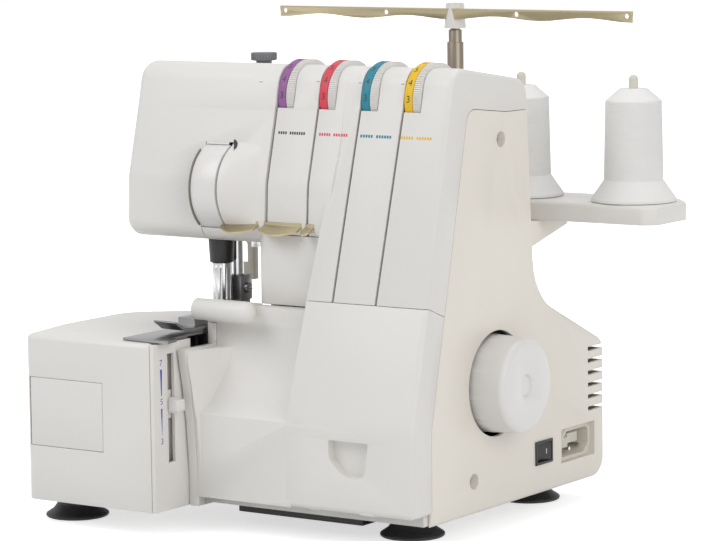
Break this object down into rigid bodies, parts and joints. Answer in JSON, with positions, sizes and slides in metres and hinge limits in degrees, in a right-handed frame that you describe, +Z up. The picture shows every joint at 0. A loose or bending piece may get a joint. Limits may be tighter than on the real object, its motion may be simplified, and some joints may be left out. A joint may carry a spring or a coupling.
{
  "type": "serger overlock machine",
  "caption": "Four-thread serger with a spool stand, telescopic thread pole, four tension dials, a swing-down looper cover, a slide-off bed and a handwheel",
  "frame": {"origin": "bottom centre of the bounding box, on the plane the feet stand on", "axes": "X to the right-hand (handwheel) side, Y to the back, Z up"},
  "size_m": [0.3562, 0.263, 0.324],
  "materials": {
    "white_plastic": "semi-matt moulded housing plastic, faint orange-peel texture",
    "beige_plastic": "semi-matt warm beige housing plastic",
    "ivory_plastic": "matt ivory nylon",
    "black_plastic": "satin black plastic",
    "black_rubber": "matt suction rubber and belt",
    "grey_plastic": "mid-grey satin plastic",
    "clear_white_gloss": "semi-gloss white plastic",
    "gold_metal": "khaki-gold plated sheet steel",
    "pole_metal": "polished steel tube",
    "bright_steel": "polished nickel-plated steel",
    "dark_steel": "dark ground steel",
    "knife_steel": "ground tool steel",
    "casting_alu": "bead-blasted cast alloy",
    "bush_bronze": "sintered bronze",
    "motor_paint": "black enamelled motor shell",
    "thread_white": "cross-wound white sewing thread",
    "dial_purple": "satin coloured band with white grip ring",
    "dial_red": "satin coloured band with white grip ring",
    "dial_teal": "satin coloured band with white grip ring",
    "dial_yellow": "satin coloured band with white grip ring"
  },
  "bodies": {
    "machine": {"base_tray": "white_plastic", "bottom_pan": "black_plastic", "feet": "black_rubber", "frame_casting": "casting_alu", "plain_bushes": "bush_bronze", "right_cover": "beige_plastic", "rear_cover": "beige_plastic", "column_cover": "white_plastic", "tension_cover": "white_plastic", "face_cover": "white_plastic", "free_arm": "white_plastic", "slider_panel": "white_plastic", "needle_plate": "dark_steel", "needle_guard": "black_plastic", "thread_guides": "gold_metal", "tension_posts": "bright_steel", "lower_knife": "knife_steel", "motor": "motor_paint", "drive_belt": "black_rubber", "switch_bezel": "black_plastic", "power_inlet": "ivory_plastic", "inlet_pins": "bright_steel", "lifter_bracket": "bright_steel", "spool_tray": "white_plastic", "tray_brackets": "beige_plastic", "spool_pins": "ivory_plastic", "pole_base": "pole_metal", "cover_screws": "bright_steel"},
    "drive_shaft": {"handwheel": "clear_white_gloss", "main_shaft": "bright_steel", "shaft_pulley": "black_plastic"},
    "motor_rotor": {"motor_pulley": "bright_steel"},
    "needle_drive": {"needle_bar": "bright_steel", "needle_clamp": "bright_steel", "needles": "bright_steel"},
    "take_up": {"take_up_lever": "clear_white_gloss"},
    "upper_looper_arm": {"upper_looper": "bright_steel"},
    "lower_looper_arm": {"lower_looper": "bright_steel"},
    "moving_knife": {"upper_knife": "dark_steel"},
    "feed": {"feed_dogs": "knife_steel"},
    "presser": {"presser_bar": "bright_steel", "presser_foot": "dark_steel"},
    "lifter": {"presser_lifter": "ivory_plastic"},
    "pressure_screw": {"pressure_knob": "grey_plastic"},
    "dial_a": {"tension_dial_1": "dial_purple"},
    "dial_b": {"tension_dial_2": "dial_red"},
    "dial_c": {"tension_dial_3": "dial_teal"},
    "dial_d": {"tension_dial_4": "dial_yellow"},
    "width_knob": {"width_slider": "white_plastic"},
    "rocker": {"switch_rocker": "black_plastic"},
    "cover_carriage": {"cover_rod": "bright_steel"},
    "front_cover": {"looper_cover": "white_plastic"},
    "table": {"extension_table": "white_plastic"},
    "door": {"accessory_door": "white_plastic"},
    "pole_stage": {"pole_middle": "pole_metal"},
    "guide_stage": {"guide_bar": "gold_metal"},
    "cone_a": {"thread_cone_1": "thread_white"},
    "cone_b": {"thread_cone_2": "thread_white"},
    "cone_c": {"thread_cone_3": "thread_white"},
    "cone_d": {"thread_cone_4": "thread_white"}
  },
  "joints": [
    {"name": "handwheel_turn", "type": "hinge", "parent": "machine", "child": "drive_shaft", "pos_m": [0.103, -0.00205, 0.0935], "axis": [1, 0, 0], "continuous": true},
    {"name": "motor_turn", "type": "hinge", "parent": "machine", "child": "motor_rotor", "pos_m": [0.081, 0.08195, 0.063], "axis": [1, 0, 0], "continuous": true},
    {"name": "needle_stroke", "type": "slide", "parent": "machine", "child": "needle_drive", "axis": [0, 0, 1], "range_m": [0, 0.024]},
    {"name": "take_up_swing", "type": "hinge", "parent": "machine", "child": "take_up", "pos_m": [-0.055, -0.04955, 0.213], "axis": [1, 0, 0], "range_deg": [-15, 0]},
    {"name": "upper_looper_swing", "type": "hinge", "parent": "machine", "child": "upper_looper_arm", "pos_m": [-0.057, -0.01805, 0.075], "axis": [1, 0, 0], "range_deg": [0, 14]},
    {"name": "lower_looper_swing", "type": "hinge", "parent": "machine", "child": "lower_looper_arm", "pos_m": [-0.083, -0.03205, 0.055], "axis": [0, 1, 0], "range_deg": [-12, 0]},
    {"name": "upper_knife_stroke", "type": "slide", "parent": "machine", "child": "moving_knife", "axis": [0, 0, 1], "range_m": [0, 0.008]},
    {"name": "feed_lift", "type": "slide", "parent": "machine", "child": "feed", "axis": [0, 0, 1], "range_m": [0, 0.002]},
    {"name": "lifter_swing", "type": "hinge", "parent": "machine", "child": "lifter", "pos_m": [-0.1, 0.02195, 0.172], "axis": [1, 0, 0], "range_deg": [0, 75]},
    {"name": "presser_lift", "type": "slide", "parent": "machine", "child": "presser", "axis": [0, 0, 1], "range_m": [0, 0.006]},
    {"name": "pressure_turn", "type": "hinge", "parent": "machine", "child": "pressure_screw", "pos_m": [-0.06, -0.01805, 0.291], "axis": [0, 0, 1], "range_deg": [-360, 360]},
    {"name": "tension_a_turn", "type": "hinge", "parent": "machine", "child": "dial_a", "pos_m": [-0.0187, -0.03155, 0.271], "axis": [1, 0, 0], "range_deg": [-120, 180]},
    {"name": "tension_b_turn", "type": "hinge", "parent": "machine", "child": "dial_b", "pos_m": [0.0126, -0.03155, 0.271], "axis": [1, 0, 0], "range_deg": [-120, 180]},
    {"name": "tension_c_turn", "type": "hinge", "parent": "machine", "child": "dial_c", "pos_m": [0.0439, -0.03155, 0.271], "axis": [1, 0, 0], "range_deg": [-120, 180]},
    {"name": "tension_d_turn", "type": "hinge", "parent": "machine", "child": "dial_d", "pos_m": [0.0752, -0.03155, 0.271], "axis": [1, 0, 0], "range_deg": [-120, 180]},
    {"name": "width_slide", "type": "slide", "parent": "machine", "child": "width_knob", "axis": [0, 0, 1], "range_m": [-0.03, 0.026]},
    {"name": "switch_press", "type": "hinge", "parent": "machine", "child": "rocker", "pos_m": [0.099, 0.05335, 0.0416], "axis": [0, 0, 1], "range_deg": [0, 16]},
    {"name": "cover_slide", "type": "slide", "parent": "machine", "child": "cover_carriage", "axis": [1, 0, 0], "range_m": [0, 0.012]},
    {"name": "cover_swing", "type": "hinge", "parent": "cover_carriage", "child": "front_cover", "pos_m": [0.015, -0.09115, 0.025], "axis": [1, 0, 0], "range_deg": [0, 70]},
    {"name": "table_slide", "type": "slide", "parent": "machine", "child": "table", "axis": [-1, 0, 0], "range_m": [0, 0.096]},
    {"name": "door_swing", "type": "hinge", "parent": "table", "child": "door", "pos_m": [-0.1635, -0.12925, 0.073], "axis": [0, 0, 1], "range_deg": [-90, 0]},
    {"name": "pole_extend", "type": "slide", "parent": "machine", "child": "pole_stage", "axis": [0, 0, 1], "range_m": [0, 0.075]},
    {"name": "guide_extend", "type": "slide", "parent": "pole_stage", "child": "guide_stage", "axis": [0, 0, 1], "range_m": [0, 0.075]},
    {"name": "cone_a_turn", "type": "hinge", "parent": "machine", "child": "cone_a", "pos_m": [0.1485, 0.08995, 0.205], "axis": [0, 0, 1], "continuous": true},
    {"name": "cone_b_turn", "type": "hinge", "parent": "machine", "child": "cone_b", "pos_m": [0.066, 0.08995, 0.205], "axis": [0, 0, 1], "continuous": true},
    {"name": "cone_c_turn", "type": "hinge", "parent": "machine", "child": "cone_c", "pos_m": [-0.034, 0.08995, 0.205], "axis": [0, 0, 1], "continuous": true},
    {"name": "cone_d_turn", "type": "hinge", "parent": "machine", "child": "cone_d", "pos_m": [-0.116, 0.08995, 0.205], "axis": [0, 0, 1], "continuous": true}
  ],
  "couplings": [
    {"joint": "motor_turn", "follows": "handwheel_turn", "ratio": 3},
    {"joint": "take_up_swing", "follows": "needle_stroke", "rad_per_m": -10.904},
    {"joint": "upper_looper_swing", "follows": "needle_stroke", "rad_per_m": 10.179},
    {"joint": "lower_looper_swing", "follows": "needle_stroke", "rad_per_m": -8.725},
    {"joint": "upper_knife_stroke", "follows": "needle_stroke", "ratio": 0.333},
    {"joint": "feed_lift", "follows": "needle_stroke", "ratio": 0.0833},
    {"joint": "lifter_swing", "follows": "presser_lift", "rad_per_m": 218.17}
  ]
}
